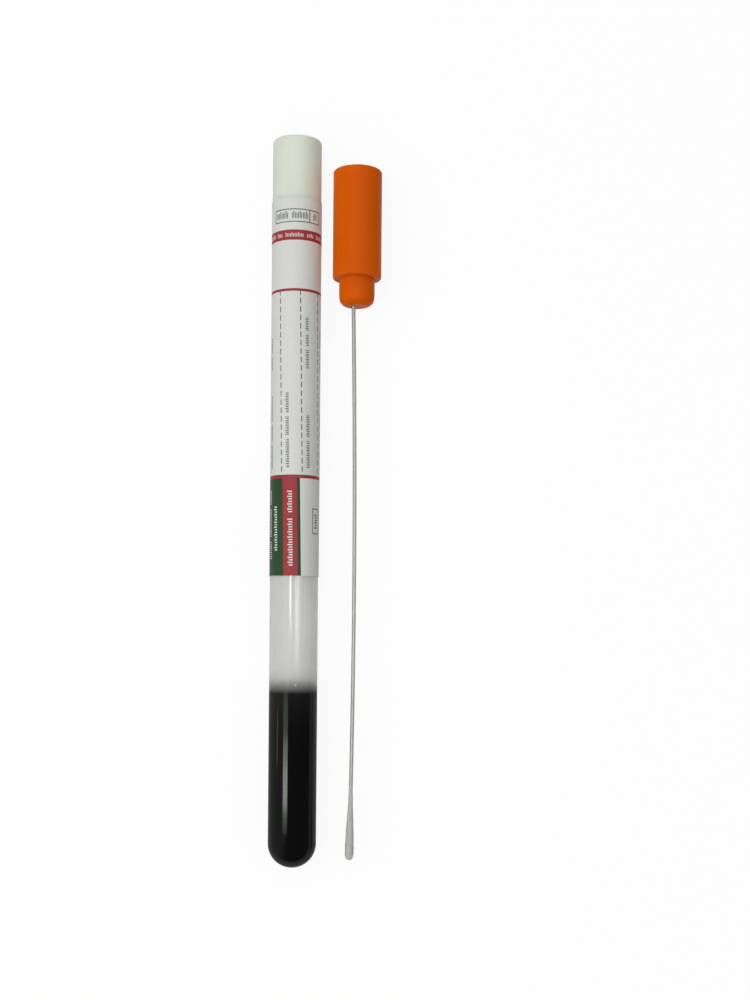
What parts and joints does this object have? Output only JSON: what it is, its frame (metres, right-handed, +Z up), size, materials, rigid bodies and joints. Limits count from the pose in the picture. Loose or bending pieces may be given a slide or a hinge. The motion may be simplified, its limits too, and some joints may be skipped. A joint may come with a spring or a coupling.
{
  "type": "specimen swab tube",
  "caption": "Round-bottomed clear tube of charcoal transport gel under a push-in stopper and wrap label, with a loose wire-shafted swab on its own push-in cap.",
  "frame": {"origin": "centre of the set's footprint, on the plane that the tube and the swab lie on", "axes": "+Y along both pieces towards the stopper and the swab's cap, +X from the tube to the swab, +Z up"},
  "size_m": [0.0272, 0.1802, 0.0124],
  "materials": {
    "clear_polypropylene": "clear moulded polypropylene, slightly hazy",
    "charcoal_gel": "wet black agar gel with charcoal",
    "white_polyethylene": "moulded off-white polyethylene, satin",
    "label_film": "printed self-adhesive film, satin",
    "orange_polyethylene": "moulded orange polyethylene, satin",
    "aluminium_wire": "drawn aluminium wire",
    "wound_fibre": "white fibre wound tight and smooth"
  },
  "bodies": {
    "root": {"tube": "clear_polypropylene", "charcoal_gel": "charcoal_gel", "tube_label": "label_film", "swab_cap": "orange_polyethylene", "swab_shaft": "aluminium_wire", "swab_bud": "wound_fibre"},
    "stopper": {"tube_stopper": "white_polyethylene", "seal_label": "label_film"}
  },
  "joints": [
    {"name": "stopper_pull", "type": "slide", "parent": "root", "child": "stopper", "axis": [0, 1, 0], "range_m": [0, 0.03]}
  ]
}
